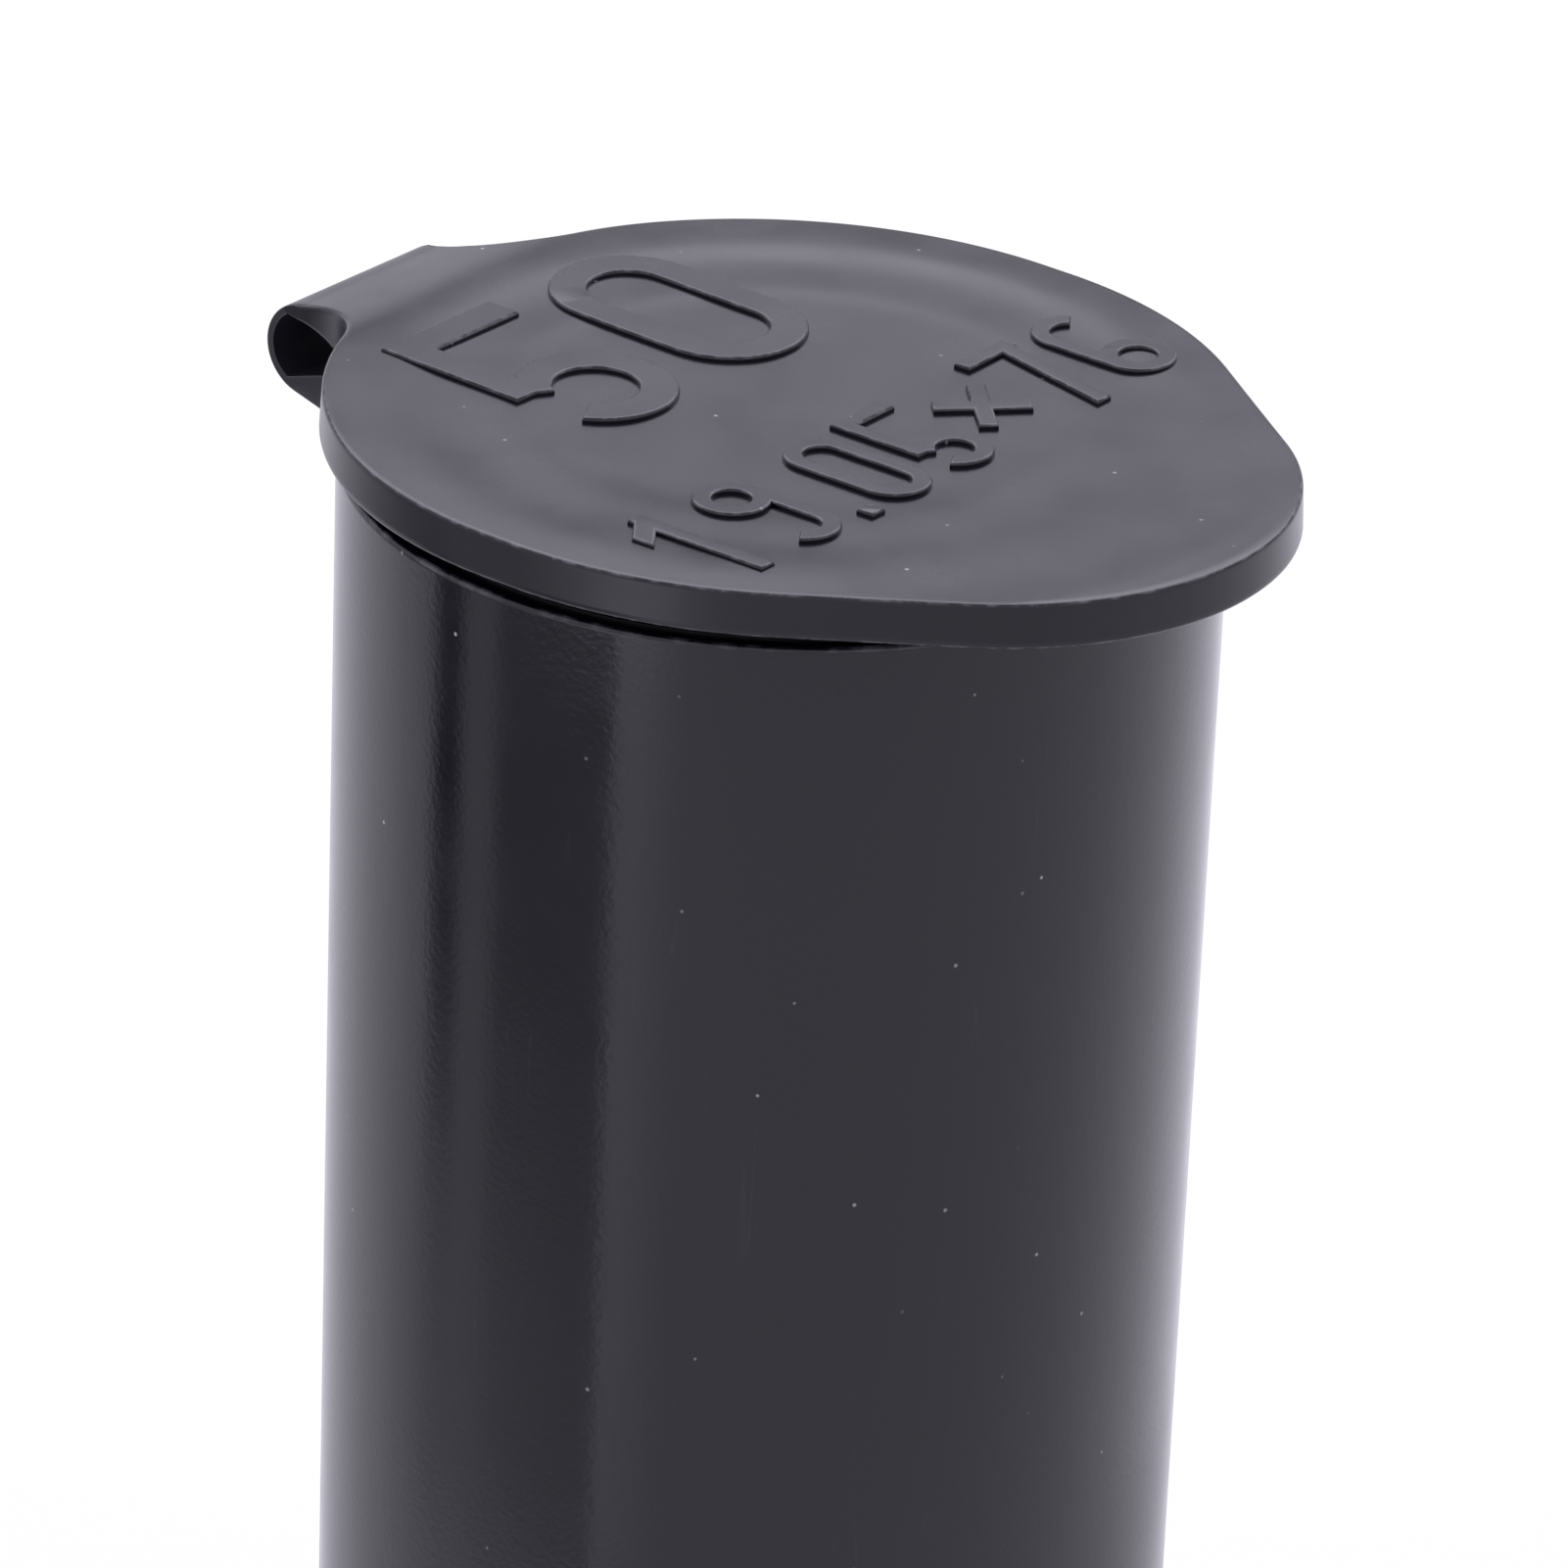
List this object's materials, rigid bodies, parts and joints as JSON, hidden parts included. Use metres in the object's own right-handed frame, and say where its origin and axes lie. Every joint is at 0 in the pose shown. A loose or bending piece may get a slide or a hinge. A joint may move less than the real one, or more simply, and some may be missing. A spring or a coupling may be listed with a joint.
{
  "type": "coin tube",
  "caption": "Tall round plastic tube for a roll of small coins, with a flat lid on a living hinge, a thumb tab and a plug that seals in the mouth.",
  "frame": {"origin": "centre of the standing face, on the tube's axis", "axes": "+Z along the tube towards its mouth, +Y towards the hinge, -Y towards the thumb tab"},
  "size_m": [0.0226, 0.0289, 0.0843],
  "materials": {
    "tube_polypropylene": "satin moulded black polypropylene with faint draw marks",
    "hinge_polypropylene": "thin flexed black polypropylene web",
    "lid_polypropylene": "satin moulded black polypropylene with a shallow sink ring"
  },
  "bodies": {
    "tube": {"tube_body": "tube_polypropylene", "hinge_root": "tube_polypropylene"},
    "strap": {"hinge_strap": "hinge_polypropylene"},
    "lid": {"lid_plate": "lid_polypropylene", "lid_plug_ring": "lid_polypropylene", "count_numerals": "lid_polypropylene", "size_numerals": "lid_polypropylene"}
  },
  "joints": [
    {"name": "hinge_bend_root", "type": "hinge", "parent": "tube", "child": "strap", "pos_m": [0, 0.01448, 0.08112], "axis": [-1, 0, 0], "range_deg": [0, 90]},
    {"name": "lid_hinge", "type": "hinge", "parent": "strap", "child": "lid", "pos_m": [0, 0.01448, 0.08288], "axis": [-1, 0, 0], "range_deg": [0, 90]}
  ],
  "couplings": [
    {"joint": "hinge_bend_root", "follows": "lid_hinge", "ratio": 1}
  ]
}
